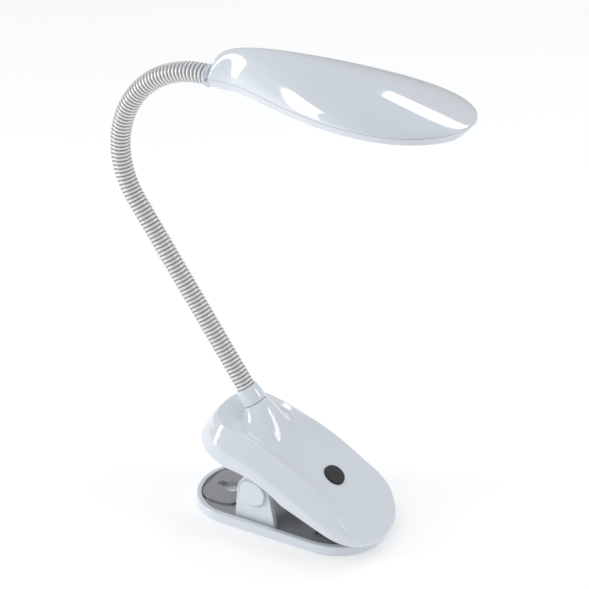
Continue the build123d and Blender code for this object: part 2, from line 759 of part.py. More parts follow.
def ferrule(nut_start, tube_low, tube_high):
    """A hollow screw with its hexagon nut, about the z axis."""
    nut = extrude(RegularPolygon(NUT_SPAN / 2, 6, major_radius=False), NUT_HEIGHT)
    length = tube_high - tube_low
    tube = Pos(0, 0, (tube_low + tube_high) / 2) * Cylinder(FERRULE_RADIUS, length)
    bore = Pos(0, 0, (tube_low + tube_high) / 2) * Cylinder(FERRULE_BORE, 2 * length)
    return (Pos(0, 0, nut_start) * nut + tube) - bore


def neck_nut():
    """The ferrule that clamps the gooseneck's foot and the collar to the boss."""
    nut_top = -COLLAR_LENGTH - BOSS_SEAT_THICKNESS
    nut_low = nut_top - NUT_HEIGHT
    return neck_plane(0).location * ferrule(nut_low, nut_low - NUT_TAIL, FERRULE_IN_NECK)


def head_socket():
    """The ferrule that clamps the gooseneck's upper end to the head."""
    nut_low = HEAD_NECK_END
    tube_high = nut_low + NUT_HEIGHT + NUT_TAIL
    end = neck_plane(neck_length()).location
    return end * ferrule(nut_low, -FERRULE_IN_BEND, tube_high)


# ---------------------------------------------------------------- head


HEAD_PLACE = Pos(HEAD_FOOT[0], 0, HEAD_FOOT[1]) * Rot(0, -HEAD_RISE, 0)


def leaf(share, widest, tip_power):
    """A curve that is 0 at both ends of its length, and 1 where it is widest."""
    root_power = tip_power * widest / (1 - widest)
    return (share / widest) ** root_power * ((1 - share) / (1 - widest)) ** tip_power


def head_size(share, size, widest, tip_power):
    """Half width or dome height at a share of the length, run smoothly into the round neck end."""
    neck = HEAD_DOME_END * sqrt(1 - share)
    full = size * leaf(share, widest, tip_power)
    return (full**HEAD_MERGE_POWER + neck**HEAD_MERGE_POWER) ** (1 / HEAD_MERGE_POWER)


def head_half_width(share):
    return head_size(share, HEAD_HALF_WIDTH, HEAD_WIDE_AT, HEAD_TIP_POWER)


def head_dome(share):
    return head_size(share, HEAD_DOME, HEAD_HIGH_AT, HEAD_FALL_POWER)


def dome_form(inset, first, last):
    """The head's dome above its rim, smaller all round by the inset."""
    sections = []
    for step in range(HEAD_SECTIONS + 1):
        share = between(first, last, (1 - cos(pi * step / HEAD_SECTIONS)) / 2)
        half = head_half_width(share) - inset
        height = head_dome(share) - inset
        face = closed_face(
            EllipticalCenterArc((0, 0), half, height, 0, arc_size=180),
            Line((-half, 0), (half, 0)),
        )
        plane = Plane(
            (share * HEAD_LENGTH, 0, HEAD_RIM), x_dir=(0, 1, 0), z_dir=(1, 0, 0)
        )
        sections.append(plane * face)
    return loft(sections)


def leaf_point(angle, inset):
    """A point of the head's plan, moved inwards; the angle runs from 0 at the neck to pi at the tip."""
    low = min(max(angle, LEAF_NUDGE), pi) - LEAF_NUDGE
    high = low + LEAF_NUDGE
    places = []
    for turn in (low, high):
        share = (1 - cos(turn)) / 2
        places.append((share * HEAD_LENGTH, head_half_width(share)))
    (x0, y0), (x1, y1) = places
    size = ((x1 - x0) ** 2 + (y1 - y0) ** 2) ** 0.5
    return x1 + inset * (y1 - y0) / size, y1 - inset * (x1 - x0) / size


def leaf_outline(inset, first_share, last_share=1.0):
    """Plan of the head between two shares of its length, cut square there."""
    first = leaf_angle(first_share)
    last = leaf_angle(last_share)
    shares = [step / LEAF_STEPS for step in range(LEAF_STEPS + 1)]
    near = [leaf_point(between(first, last, share), inset) for share in shares]
    if last_share == 1.0:
        near[-1] = (HEAD_LENGTH - inset, 0.0)
        far = [(x, -y) for x, y in reversed(near[:-1])]
        return closed_face(Spline(*near, *far), Line(far[-1], near[0]))
    far = [(x, -y) for x, y in reversed(near)]
    return closed_face(
        Spline(*near), Line(near[-1], far[0]), Spline(*far), Line(far[-1], near[0])
    )


def leaf_angle(share):
    """The angle, from 0 at the neck to pi at the tip, of a share of the head's length."""
    return acos(1 - 2 * share)


def head_screw_places():
    return [Pos(HEAD_SCREW_X, side * HEAD_SCREW_Y, 0) for side in (-1, 1)]


def neck_tube(radius, low, high):
    """A cylinder on the gooseneck's axis at the head, in the head's own frame."""
    tube = Pos(0, 0, (low + high) / 2) * Cylinder(radius, high - low)
    return HEAD_PLACE.inverse() * neck_plane(neck_length()).location * tube


def head_shell():
    """The domed top of the head, with the round neck that the gooseneck screws into."""
    shell = dome_form(0, 0.0, TIP_SHARE)
    shell += neck_tube(HEAD_NECK_RADIUS, 0, HEAD_NECK_LENGTH)
    shell -= dome_form(HEAD_WALL, *HEAD_CAVITY)
    for place in head_screw_places():
        height = head_dome(HEAD_SCREW_X / HEAD_LENGTH) - HEAD_WALL + HEAD_RIM - HEAD_SCREW_BOSS_HEIGHT
        post = Cylinder(HEAD_POST_RADIUS, height) - Cylinder(SCREW_RADIUS, height)
        shell += place * Pos(0, 0, HEAD_SCREW_BOSS_HEIGHT + height / 2) * post
    shell -= neck_tube(FERRULE_HOLE, -1, HEAD_NECK_END + 1)
    shell -= neck_tube(NUT_ROOM, HEAD_NECK_END, HEAD_NECK_LENGTH + 1)
    return HEAD_PLACE * shell


def head_base():
    """The rim and the underside, with the window for the light."""
    base = extrude(leaf_outline(0, BASE_START), HEAD_RIM)
    hollow = leaf_outline(HEAD_RIM_WALL, BASE_START + BASE_END_WALL)
    base -= Pos(0, 0, HEAD_FLOOR) * extrude(hollow, HEAD_RIM)
    base -= extrude(leaf_outline(WINDOW_INSET, WINDOW_START), HEAD_RIM)
    for place in head_screw_places():
        height = HEAD_SCREW_BOSS_HEIGHT
        base += place * Pos(0, 0, height / 2) * Cylinder(HEAD_SCREW_BOSS, height)
        base -= place * screw_hole(2 * height)
    base -= neck_tube(HEAD_NECK_RADIUS + FIT_GAP, 0, HEAD_NECK_LENGTH + FIT_GAP)
    return HEAD_PLACE * base


def diffuser():
    """The light window: an insert in the opening, and a lip that rests on the underside."""
    insert = leaf_outline(WINDOW_INSET + FIT_GAP, WINDOW_START + WINDOW_END_GAP)
    lens = Pos(0, 0, DIFFUSER_RECESS) * extrude(insert, HEAD_FLOOR)
    lip = leaf_outline(WINDOW_INSET - DIFFUSER_LIP, WINDOW_START - WINDOW_END_LIP)
    lens += Pos(0, 0, HEAD_FLOOR) * extrude(lip, DIFFUSER_THICKNESS)
    return HEAD_PLACE * lens


def led_board():
    plan = leaf_outline(LED_BOARD_INSET, *LED_BOARD_SPAN)
    return HEAD_PLACE * Pos(0, 0, LED_BOARD_Z) * extrude(plan, LED_BOARD_THICKNESS)


def led_places():
    """A grid of places that fall within the light frame."""
    first, last = (share * HEAD_LENGTH for share in LED_BOARD_SPAN)
    middle = (first + last) / 2
    inset = FRAME_INSET + FRAME_WALL + LED_EDGE
    for column in range(LED_COLUMNS):
        x = middle + (column - (LED_COLUMNS - 1) / 2) * LED_PITCH_X
        for row in range(LED_ROWS):
            y = (row - (LED_ROWS - 1) / 2) * LED_PITCH_Y
            if abs(y) < head_half_width(x / HEAD_LENGTH) - inset:
                yield x, y


def leds():
    length, width, height = LED_SIZE
    z = LED_BOARD_Z - height / 2
    chips = [HEAD_PLACE * Pos(x, y, z) * Box(length, width, height) for x, y in led_places()]
    return Compound(children=chips)


def light_frame():
    """The white wall that holds the light between the board and the diffuser."""
    first, last = LED_BOARD_SPAN
    low = HEAD_FLOOR + DIFFUSER_THICKNESS
    outer = leaf_outline(FRAME_INSET, first + FRAME_END_GAP, last - FRAME_END_GAP)
    gap = FRAME_END_GAP + FRAME_END_WALL
    inner = leaf_outline(FRAME_INSET + FRAME_WALL, first + gap, last - gap)
    frame = extrude(outer, LED_BOARD_Z - low) - extrude(inner, LED_BOARD_Z)
    return HEAD_PLACE * Pos(0, 0, low) * frame


def head_screws():
    length = SCREW_REACH + HEAD_SCREW_BOSS_HEIGHT - SCREW_HEAD
    return Compound(children=[HEAD_PLACE * place * screw(length) for place in head_screw_places()])


# ---------------------------------------------------------------- files


NODES = {
    "jaw_tray": jaw_tray,
    "jaw_plate": jaw_plate,
    "jaw_grip": jaw_grip,
    "jaw_screws": jaw_screws,
    "pivot_pin": pivot_pin,
    "jaw_spring": jaw_spring,
    "housing_shell": housing_shell,
    "housing_base": housing_base,
    "housing_screws": housing_screws,
    "housing_grip": housing_grip,
    "battery_cell": battery_cell,
    "control_board": control_board,
    "tactile_switch": tactile_switch,
    "charge_socket": charge_socket,
    "switch_button": switch_button,
    "neck_collar": neck_collar,
    "neck_nut": neck_nut,
    "head_socket": head_socket,
    "head_shell": head_shell,
    "head_base": head_base,
    "diffuser": diffuser,
    "led_board": led_board,
    "leds": leds,
    "light_frame": light_frame,
    "head_screws": head_screws,
}

for node_name, make in NODES.items():
    export(make(), node_name)

export(pivot_cap(-1), "pivot_cap_near")
export(pivot_cap(1), "pivot_cap_far")

for segment in range(1, STRAIGHT_SEGMENTS + BENT_SEGMENTS + 1):
    export(neck_coil(segment), f"neck_coil_{segment}")
    export(neck_lead(segment), f"neck_lead_{segment}")
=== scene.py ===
"""Looks of a clip-on reading lamp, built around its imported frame.

The frame is in metres, with +X to the nose of the clip and +Z up. Sizes here are in millimetres, as
the part's own are, and each mesh is brought to metres when it is made.
"""

import json
from math import acos, atan2, cos, pi, radians, sin, sqrt

import bmesh
import bpy
import numpy as np
from mathutils import Matrix, Vector


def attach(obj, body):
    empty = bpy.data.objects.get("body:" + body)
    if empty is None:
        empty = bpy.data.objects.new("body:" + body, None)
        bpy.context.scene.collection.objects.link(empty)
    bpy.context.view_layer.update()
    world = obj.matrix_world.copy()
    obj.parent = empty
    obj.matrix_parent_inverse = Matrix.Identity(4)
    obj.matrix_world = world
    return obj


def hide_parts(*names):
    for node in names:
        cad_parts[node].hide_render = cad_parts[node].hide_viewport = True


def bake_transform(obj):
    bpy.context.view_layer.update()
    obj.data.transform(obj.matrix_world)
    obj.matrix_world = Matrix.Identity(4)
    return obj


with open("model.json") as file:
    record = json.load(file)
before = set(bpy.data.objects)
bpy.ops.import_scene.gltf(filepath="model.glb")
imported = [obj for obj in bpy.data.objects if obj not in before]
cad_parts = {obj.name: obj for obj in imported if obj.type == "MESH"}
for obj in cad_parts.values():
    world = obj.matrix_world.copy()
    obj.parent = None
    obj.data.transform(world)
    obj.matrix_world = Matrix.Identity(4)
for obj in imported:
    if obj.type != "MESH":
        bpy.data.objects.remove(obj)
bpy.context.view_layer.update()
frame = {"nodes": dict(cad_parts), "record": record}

METRE = 0.001
EDGE_ANGLE = 35.0

# Handle housing, in its own frame: origin on the pivot axis, x to the nose, z square to its base
PIVOT = (-11.0, 0.0, 23.3)
HOUSING_TILT = 20.5
BASE_Z = 8.4
HOUSING_REAR = -44.8
HOUSING_NOSE = 70.6
REAR_CENTRE = -20.0
NOSE_CENTRE = 45.0
REAR_HALF_WIDTH = 27.3
NOSE_HALF_WIDTH = 29.0
REAR_POWER = 2.26
NOSE_POWER = 2.4
TOP_Z = 25.4
TOP_X = -4.0
TOP_DROP = 0.00126
TOP_POWER = 2.2
DISH_FRONT = 5.0
DISH_REAR = -20.0
CREASE_Z = 29.2
CREASE_FRONT_DROP = 0.002286
CREASE_FRONT_POWER = 2.15
CREASE_REAR_DROP = 0.00033
CREASE_REAR_POWER = 2.62
CREASE_IN = 0.22
CREASE_IN_AT_NOSE = 0.06
LEAST_CREASE = 1.0
CREASE_STEP = 6.2
CREASE_STEP_AT_NOSE = 1.2
CREASE_STEP_AT_REAR = 4.0
REAR_TURN = (-25.0, -43.0)
REAR_LEAN = 1.8
CREASE_TURN = (30.0, 72.0)
CREASE_ROUND = 1.1
WALL_LINE_Z = 17.5
WALL_LINE_DROP = 0.115
WALL_LINE_ROUND = 2.2
FACET_LEAST = 2.5
FACET_BULGE = 0.35
LIP_THICKNESS = 3.0
ARCH_RISE = 2.8
ARCH_HALF_CHORD = 18.0
HOUSING_WALL = 1.2
EDGE_ROUND = 0.5
PLAN_STEPS = 400
OUTLINE_POINTS = 288
EDGE_ROWS = 4
ROUND_ROWS = 7
SLOPE_ROWS = 7
PANEL_ROWS = 44
BOSS_ROWS = 22
ROOT_NUDGE = 0.01
CUTTER_SIDES = 96

# Boss that the gooseneck's collar sits on, in the housing's frame
SEAT_X = -25.33
SEAT_Z = 35.40
BOSS_AXIS = (-0.814, 0.581)
SEAT_RADIUS = 6.9
SEAT_GAP = 0.4
SEAT_INNER = 6.0
ROOT_X = -8.0
ROOT_FRONT = 21.0
ROOT_REAR = 20.0
ROOT_SIDE = 17.5
ROOT_PULL = (0.12, 0.38)
SEAT_PULL = 0.34
SEAT_SPREAD = 0.34

BUTTON_X = 31.3
BUTTON_HOLE = 6.15
BUTTON_CUT_DEPTH = 8.0
INLET_PLACE = (30.0, 28.0, 16.2)
INLET_SIZE = (8.0, 12.0, 3.2)

# Gooseneck
NECK_FOOT = (-27.5, 73.0)
NECK_LEAN = 34.0
NECK_STRAIGHT = 115.5
NECK_BEND_RADIUS = 51.2
NECK_BEND = 128.0
STRAIGHT_SEGMENTS = 4
BENT_SEGMENTS = 4
NECK_RADIUS = 5.3
NECK_BORE = 3.3
RIB_PITCH = 2.15
GROOVE_DEPTH = 0.6
GROOVE_FLAT = 0.08
GROOVE_HALF = 0.3
RIB_SHARES = (0.0, 0.08, 0.16, 0.24, 0.34, 0.5, 0.66, 0.76, 0.84, 0.92)
HOSE_SIDES = 40
HOSE_EDGE_ANGLE = 60.0

# Head, in its own frame: origin at the neck end of its base plane, x to the tip
HEAD_FOOT = (-43.0, 245.3)
HEAD_RISE = 1.11
HEAD_LENGTH = 139.3
HEAD_HALF_WIDTH = 32.2
HEAD_WIDE_AT = 0.703
HEAD_TIP_POWER = 0.525
HEAD_DOME = 18.75
HEAD_HIGH_AT = 0.254
HEAD_FALL_POWER = 0.88
HEAD_NECK_RADIUS = 5.8
HEAD_RIM = 3.45
HEAD_WALL = 1.2
HEAD_SEAM = 0.12
HEAD_MERGE_POWER = 4
HEAD_ROWS = 110
NECK_ROWS = 4
NECK_BLEND = 0.7
DOME_COLUMNS = 73
UNDER_COLUMNS = 97
FLAT_FROM = 0.13
FLAT_POWER = 16
TIP_TAPER = 6
WELD_REACH = 0.0001
WINDOW_START = 0.2
WINDOW_INSET = 7.0
WINDOW_STEPS = 40
LEAF_NUDGE = 0.001

# Surfaces: each pattern's cells in a metre and its detail, and the height of its relief in metres
DRIFT_SCALE = 30.0
GRAIN_SCALE = 900.0
GRAIN_DETAIL = 2.0
GRAIN_HEIGHT = 0.0001
PEBBLE_SCALE = 1500.0
PEBBLE_HEIGHT = 0.0002
HOSE_MOTTLE_SCALE = 400.0

# Camera: where it looks from, and at what, in degrees and metres
CAMERA_AZIMUTH = 28.5
CAMERA_ELEVATION = 28.9
CAMERA_DISTANCE = 1.0
CAMERA_TARGET = (0.002, 0.0, 0.1369)
CAMERA_LENS = 119.2

# Lights, floor and sky, in metres but for half the floor's width, which is in millimetres
HEAD_MIDDLE = (0.03, 0.0, 0.25)
HOUSING_MIDDLE = (0.0, 0.0, 0.05)
LIGHT_DISTANCE = 1.0
FLOOR_HALF = 3000.0
FLOOR_DRIFT_SCALE = 3.0
FLOOR_GLOW = 0.25
SKY_RISE = (-0.1, 0.8)
SKY_LOW = (0.42, 0.40, 0.37)
SKY_HIGH = (0.96, 0.98, 1.0)
SKY_STRENGTH = 0.78

HOUSING_PLACE = Matrix.Translation(PIVOT) @ Matrix.Rotation(radians(HOUSING_TILT), 4, "Y")
HEAD_PLACE = Matrix.Translation((HEAD_FOOT[0], 0, HEAD_FOOT[1])) @ Matrix.Rotation(
    radians(-HEAD_RISE), 4, "Y"
)


# ---------------------------------------------------------------- meshes


def mesh_piece(name, points, faces, place=Matrix.Identity(4)):
    """A new piece from points in millimetres, in the frame that place gives."""
    mesh = bpy.data.meshes.new(name)
    mesh.from_pydata([tuple(p) for p in points], [], faces)
    mesh.transform(Matrix.Scale(METRE, 4) @ place)
    mesh.update()
    piece = bpy.data.objects.new(name, mesh)
    bpy.context.scene.collection.objects.link(piece)
    return piece


def grid_faces(rows, columns, ring, first=0, flip=False):
    """Four-sided faces of a grid, whose columns close into a ring if asked."""
    faces = []
    for row in range(rows - 1):
        for column in range(columns if ring else columns - 1):
            after = (column + 1) % columns
            a = first + row * columns + column
            b = first + row * columns + after
            face = (a, b, b + columns, a + columns)
            faces.append(face[::-1] if flip else face)
    return faces


def grid_piece(name, grid, place, ring=True, flip=False):
    rows, columns, _ = grid.shape
    return mesh_piece(name, grid.reshape(-1, 3), grid_faces(rows, columns, ring, flip=flip), place)


def bake_modifiers(piece):
    """Replaces the piece's mesh with what its modifiers make of it."""
    evaluated = piece.evaluated_get(bpy.context.evaluated_depsgraph_get())
    mesh = bpy.data.meshes.new_from_object(evaluated)
    piece.modifiers.clear()
    piece.data = mesh


def thicken(piece, thickness):
    """Gives an open skin a wall, inwards, so that it is a closed solid."""
    wall = piece.modifiers.new("wall", "SOLIDIFY")
    wall.thickness = thickness * METRE
    wall.offset = -1
    bake_modifiers(piece)


def cut(piece, cutter):
    """Takes the cutter's form out of the piece."""
    hole = piece.modifiers.new("hole", "BOOLEAN")
    hole.operation = "DIFFERENCE"
    hole.solver = "EXACT"
    hole.object = cutter
    bake_modifiers(piece)
    bpy.data.objects.remove(cutter)


def smooth(piece, angle=EDGE_ANGLE):
    """Smooth shading, except over edges that turn by more than the angle."""
    mesh = piece.data
    form = bmesh.new()
    form.from_mesh(mesh)
    for face in form.faces:
        face.smooth = True
    for edge in form.edges:
        edge.smooth = len(edge.link_faces) == 2 and edge.calc_face_angle(0.0) < radians(angle)
    form.to_mesh(mesh)
    form.free()


def finish_piece(piece, material, body):
    piece.data.materials.clear()
    piece.data.materials.append(material)
    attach(piece, body)


# ---------------------------------------------------------------- materials


def new_material(name):
    """An empty node material, and its Principled shader."""
    material = bpy.data.materials.new(name)
    material.use_nodes = True
    return material, material.node_tree.nodes["Principled BSDF"]


def noise(tree, scale, detail=3.0):
    """Noise that is fixed to the piece's own place; scale is how many of its cells make a metre."""
    place = tree.nodes.new("ShaderNodeTexCoord")
    pattern = tree.nodes.new("ShaderNodeTexNoise")
    pattern.inputs["Scale"].default_value = scale
    pattern.inputs["Detail"].default_value = detail
    tree.links.new(place.outputs["Object"], pattern.inputs["Vector"])
    return pattern.outputs["Fac"]


def spread(tree, value, low, high):
    """The value from 0 to 1 as a number between low and high."""
    ramp = tree.nodes.new("ShaderNodeMapRange")
    ramp.inputs["To Min"].default_value = low
    ramp.inputs["To Max"].default_value = high
    tree.links.new(value, ramp.inputs["Value"])
    return ramp.outputs["Result"]


def tint(tree, value, dark, light):
    """The value from 0 to 1 as a colour between dark and light."""
    mix = tree.nodes.new("ShaderNodeMix")
    mix.data_type = "RGBA"
    mix.inputs["A"].default_value = (*dark, 1)
    mix.inputs["B"].default_value = (*light, 1)
    tree.links.new(value, mix.inputs["Factor"])
    return mix.outputs["Result"]


def relief(tree, shader, height, strength, distance):
    bump = tree.nodes.new("ShaderNodeBump")
    bump.inputs["Strength"].default_value = strength
    bump.inputs["Distance"].default_value = distance
    tree.links.new(height, bump.inputs["Height"])
    tree.links.new(bump.outputs["Normal"], shader.inputs["Normal"])


def moulded(name, dark, light, roughness, strength=0.05, metallic=0.0, coat=0.0):
    """Moulded plastic or metal: a slight drift in colour and gloss, and a fine surface grain."""
    material, shader = new_material(name)
    tree = material.node_tree
    drift = noise(tree, DRIFT_SCALE)
    fine = noise(tree, GRAIN_SCALE, GRAIN_DETAIL)
    tree.links.new(tint(tree, drift, dark, light), shader.inputs["Base Color"])
    tree.links.new(spread(tree, drift, *roughness), shader.inputs["Roughness"])
    relief(tree, shader, fine, strength, GRAIN_HEIGHT)
    shader.inputs["Metallic"].default_value = metallic
    shader.inputs["Coat Weight"].default_value = coat
    return material


def white_gloss():
    dark = (0.72, 0.77, 0.83)
    light = (0.75, 0.80, 0.86)
    return moulded("white_gloss", dark, light, (0.06, 0.1), strength=0.02, coat=0.8)


def white_satin():
    return moulded("white_satin", (0.64, 0.65, 0.66), (0.68, 0.69, 0.70), (0.35, 0.45), strength=0.15)


def grey_gloss():
    return moulded("grey_gloss", (0.36, 0.36, 0.385), (0.41, 0.41, 0.435), (0.16, 0.24), metallic=0.55)


def grip_rubber():
    return moulded("grip_rubber", (0.16, 0.16, 0.17), (0.2, 0.2, 0.21), (0.45, 0.6), strength=0.3)


def steel():
    return moulded("steel", (0.5, 0.5, 0.51), (0.58, 0.58, 0.59), (0.25, 0.35), metallic=1.0)


def screw_steel():
    return moulded("screw_steel", (0.6, 0.6, 0.62), (0.68, 0.68, 0.7), (0.12, 0.2), metallic=1.0)


def brass_ferrule():
    return moulded("brass_ferrule", (0.66, 0.5, 0.24), (0.75, 0.6, 0.3), (0.2, 0.3), metallic=1.0)


def lead_jacket():
    return moulded("lead_jacket", (0.62, 0.62, 0.6), (0.7, 0.7, 0.68), (0.4, 0.5))


def cell_wrap():
    return moulded("cell_wrap", (0.10, 0.24, 0.38), (0.13, 0.29, 0.44), (0.2, 0.3))


def board_green():
    return moulded("board_green", (0.02, 0.11, 0.04), (0.03, 0.15, 0.06), (0.25, 0.35))


def board_metal():
    return moulded("board_metal", (0.72, 0.73, 0.74), (0.78, 0.79, 0.8), (0.3, 0.4))


def switch_black():
    return moulded("switch_black", (0.02, 0.02, 0.02), (0.035, 0.035, 0.035), (0.35, 0.45))


def led_chip():
    return moulded("led_chip", (0.8, 0.62, 0.16), (0.86, 0.7, 0.22), (0.3, 0.4))


def diffuser_acrylic():
    material = moulded("diffuser", (0.8, 0.81, 0.8), (0.84, 0.85, 0.84), (0.25, 0.35), strength=0.1)
    shader = material.node_tree.nodes["Principled BSDF"]
    shader.inputs["Subsurface Weight"].default_value = 0.4
    shader.inputs["Subsurface Radius"].default_value = (0.004, 0.004, 0.004)
    return material


def button_rubber():
    """Black rubber with a fine pebbled face."""
    material, shader = new_material("button_rubber")
    tree = material.node_tree
    place = tree.nodes.new("ShaderNodeTexCoord")
    cells = tree.nodes.new("ShaderNodeTexVoronoi")
    cells.inputs["Scale"].default_value = PEBBLE_SCALE
    tree.links.new(place.outputs["Object"], cells.inputs["Vector"])
    pebble = cells.outputs["Distance"]
    colour = tint(tree, pebble, (0.03, 0.029, 0.033), (0.014, 0.013, 0.016))
    tree.links.new(colour, shader.inputs["Base Color"])
    tree.links.new(spread(tree, pebble, 0.4, 0.6), shader.inputs["Roughness"])
    relief(tree, shader, pebble, 0.5, PEBBLE_HEIGHT)
    return material


def hose_metal():
    """Satin silver metal, with painted shade: darker in the grooves between the ribs and in the bore.
    """
    material, shader = new_material("hose_metal")
    tree = material.node_tree
    groove = tree.nodes.new("ShaderNodeAttribute")
    groove.attribute_name = "groove"
    # Painted shade: the groove share turns the colour from the ribs' silver to dark grey in the
    # grooves and the bore.
    colour = tint(tree, groove.outputs["Fac"], (0.80, 0.805, 0.82), (0.30, 0.30, 0.31))
    tree.links.new(colour, shader.inputs["Base Color"])
    gloss = spread(tree, noise(tree, HOSE_MOTTLE_SCALE), 0.26, 0.38)
    tree.links.new(gloss, shader.inputs["Roughness"])
    shader.inputs["Metallic"].default_value = 0.35
    return material


MATERIALS = {
    "white_gloss": white_gloss,
    "white_satin": white_satin,
    "grey_gloss": grey_gloss,
    "grip_rubber": grip_rubber,
    "button_rubber": button_rubber,
    "hose_metal": hose_metal,
    "steel": steel,
    "screw_steel": screw_steel,
    "brass_ferrule": brass_ferrule,
    "lead_jacket": lead_jacket,
    "cell_wrap": cell_wrap,
    "board_green": board_green,
    "board_metal": board_metal,
    "switch_black": switch_black,
    "diffuser": diffuser_acrylic,
    "led_chip": led_chip,
}


def paint_frame(materials):
    """Gives each CAD node the material of its slot in the record."""
    slot_of = {part["node"]: part["material_slot"] for part in frame["record"]["subparts"]}
    for node, piece in frame["nodes"].items():
        piece.data.materials.clear()
        piece.data.materials.append(materials[slot_of[node]])


# ---------------------------------------------------------------- housing


def superellipse(ratio, power):
    return (1 - np.clip(np.abs(ratio), 0, 1) ** power) ** (1 / power)


def plan_half(steps):
    """One side of the housing's plan, from the nose to the rear end, as dense points."""
    turn = np.linspace(0, pi / 2, steps)
    nose_x = NOSE_CENTRE + (HOUSING_NOSE - NOSE_CENTRE) * np.cos(turn) ** (2 / NOSE_POWER)
    nose_y = NOSE_HALF_WIDTH * np.sin(turn) ** (2 / NOSE_POWER)
    rear_x = REAR_CENTRE - (REAR_CENTRE - HOUSING_REAR) * np.sin(turn) ** (2 / REAR_POWER)
    rear_y = REAR_HALF_WIDTH * np.cos(turn) ** (2 / REAR_POWER)
    side_x = np.linspace(NOSE_CENTRE, REAR_CENTRE, steps)[1:-1]
    side_y = np.interp(side_x, (REAR_CENTRE, NOSE_CENTRE), (REAR_HALF_WIDTH, NOSE_HALF_WIDTH))
    return np.concatenate((nose_x, side_x, rear_x)), np.concatenate((nose_y, side_y, rear_y))


def plan_outline(count):
    """Points evenly along the housing's plan, round from the nose, and the inward normal at each."""
    half_x, half_y = plan_half(PLAN_STEPS)
    x = np.concatenate((half_x, half_x[-2:0:-1]))
    y = np.concatenate((half_y, -half_y[-2:0:-1]))
    x = np.append(x, x[0])
    y = np.append(y, y[0])
    along = np.concatenate(([0], np.cumsum(np.hypot(np.diff(x), np.diff(y)))))
    wanted = np.linspace(0, along[-1], count, endpoint=False)
    points = np.stack((np.interp(wanted, along, x), np.interp(wanted, along, y)), 1)
    ahead = np.roll(points, -1, 0) - np.roll(points, 1, 0)
    ahead /= np.linalg.norm(ahead, axis=1)[:, None]
    return points, np.stack((-ahead[:, 1], ahead[:, 0]), 1)


def ease(low, high, value):
    share = np.clip((value - low) / (high - low), 0, 1)
    return share * share * (3 - 2 * share)


def between(low, high, share):
    return low + (high - low) * share


def crease_height(x):
    """Height of the crease between the top panel and the sloping side."""
    front = CREASE_FRONT_DROP * np.clip(x, 0, None) ** CREASE_FRONT_POWER
    rear = CREASE_REAR_DROP * np.clip(-x, 0, None) ** CREASE_REAR_POWER
    return np.maximum(CREASE_Z - front - rear, BASE_Z + LIP_THICKNESS)


def middle_top(x):
    """Height of the top along the housing's middle."""
    dished = TOP_Z - TOP_DROP * np.clip(x - TOP_X, 0, None) ** TOP_POWER
    crease = crease_height(x)
    return np.minimum(between(dished, crease, ease(DISH_FRONT, DISH_REAR, x)), crease)


def half_width(x):
    nose = (x - NOSE_CENTRE) / (HOUSING_NOSE - NOSE_CENTRE)
    rear = (REAR_CENTRE - x) / (REAR_CENTRE - HOUSING_REAR)
    side = np.interp(x, (REAR_CENTRE, NOSE_CENTRE), (REAR_HALF_WIDTH, NOSE_HALF_WIDTH))
    fall = superellipse(np.clip(nose, 0, None), NOSE_POWER)
    return side * fall * superellipse(np.clip(rear, 0, None), REAR_POWER)


def top_height(x, y):
    """Height of the top panel, which is dished between its two creases."""
    crease = half_width(x) * (1 - between(CREASE_IN, CREASE_IN_AT_NOSE, ease(*CREASE_TURN, x)))
    out = np.clip(np.abs(y) / np.maximum(crease, LEAST_CREASE), 0, 1)
    return between(middle_top(x), crease_height(x), out**2)


def wall_line_height(x):
    """Height where the upright side turns in to slope up to the crease."""
    line = WALL_LINE_Z - WALL_LINE_DROP * np.clip(x, 0, None)
    return np.minimum(line, crease_height(x) - FACET_LEAST)


def lower_edge(x):
    """Height of the side's lower edge, which arches over the pivot."""
    radius = (ARCH_HALF_CHORD**2 + ARCH_RISE**2) / (2 * ARCH_RISE)
    inside = np.clip(radius**2 - x**2, 0, None)
    return BASE_Z + np.clip(np.sqrt(inside) - radius + ARCH_RISE, 0, None)


def rounded(corner, before, after, count):
    """Rows round a corner, from the point before it to the point after it."""
    shares = np.linspace(0, 1, count)
    return [before * (1 - s) ** 2 + 2 * corner * s * (1 - s) + after * s**2 for s in shares]


def straight(start, end, count):
    """Rows between two rows, without those two."""
    return [between(start, end, share) for share in np.linspace(0, 1, count + 2)[1:-1]]


def lengths(rows):
    return np.linalg.norm(rows, axis=1)[:, None]


def side_lines(outline, inward):
    """The lower edge, the wall line and the crease, each as a row of points."""
    x = outline[:, 0]
    rear = ease(*REAR_TURN, x)[:, None]
    step = between(CREASE_STEP, CREASE_STEP_AT_NOSE, ease(*CREASE_TURN, x))[:, None]
    step = between(step, CREASE_STEP_AT_REAR, rear)
    crease = outline + step * inward
    low = np.column_stack((outline, lower_edge(x)))
    height = np.maximum(wall_line_height(x), low[:, 2] + 2 * EDGE_ROUND)
    line = np.column_stack((outline + REAR_LEAN * rear * inward, height))
    return low, line, np.column_stack((crease, top_height(*crease.T)))


def facing_out(slope, into):
    """Directions square to the slope, pointing away from the housing."""
    up = np.array((0.0, 0.0, 1.0))
    outward = np.cross(slope, np.cross(into, up))
    outward /= lengths(outward)
    return outward * -np.sign((outward * into).sum(1))[:, None]


